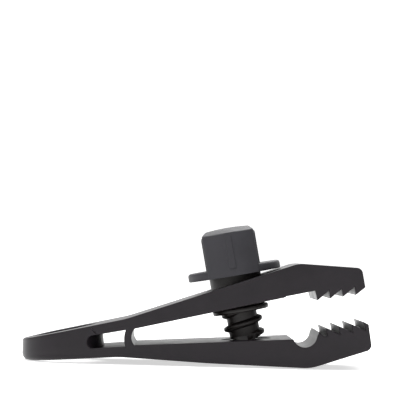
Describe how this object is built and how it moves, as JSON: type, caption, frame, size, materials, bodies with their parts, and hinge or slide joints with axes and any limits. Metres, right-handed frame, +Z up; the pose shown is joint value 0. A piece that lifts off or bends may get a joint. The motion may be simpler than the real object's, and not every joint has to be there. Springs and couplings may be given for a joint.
{
  "type": "tarp clip",
  "caption": "Screw-tightened tarp clip with toothed jaws, a line notch, a thumb knob and a rope eye at the tail.",
  "frame": {"origin": "on the surface that the clip lies on, under the middle of its length and width", "axes": "+X along the clip to its jaws, +Y across it, +Z up to the screw's knob"},
  "size_m": [0.0954, 0.0266, 0.0388],
  "materials": {
    "moulding": "matt, fine grain",
    "screw": "matt",
    "knob": "matt, slight sheen"
  },
  "bodies": {
    "lower_arm": {"lower_arm": "moulding", "lower_flexure": "moulding"},
    "tail": {"tail_loop": "moulding"},
    "upper_arm": {"upper_arm": "moulding", "upper_flexure": "moulding"},
    "ring": {"retaining_ring": "screw"},
    "thumb_screw": {"screw_shank": "screw", "thumb_knob": "knob"}
  },
  "joints": [
    {"name": "tail_flex", "type": "hinge", "parent": "lower_arm", "child": "tail", "pos_m": [-0.01621, 0, 0.00352], "axis": [0, 1, 0], "range_deg": [0, 3.7], "deforming": ["lower_flexure"]},
    {"name": "upper_arm_flex", "type": "hinge", "parent": "tail", "child": "upper_arm", "pos_m": [-0.01621, 0, 0.01167], "axis": [0, 1, 0], "range_deg": [0, 3.7], "deforming": ["upper_flexure"]},
    {"name": "screw_travel", "type": "slide", "parent": "lower_arm", "child": "ring", "axis": [-0.1942, 0, 0.981], "range_m": [-0.0056, 0]},
    {"name": "screw_turn", "type": "hinge", "parent": "ring", "child": "thumb_screw", "pos_m": [0.01069, 0, 0.02488], "axis": [-0.1942, 0, 0.981], "range_deg": [-540, 0]}
  ],
  "couplings": [
    {"joint": "screw_travel", "follows": "screw_turn", "m_per_rad": 0.00059365},
    {"joint": "tail_flex", "follows": "screw_turn", "ratio": -0.0068518},
    {"joint": "upper_arm_flex", "follows": "screw_turn", "ratio": -0.0068518}
  ]
}
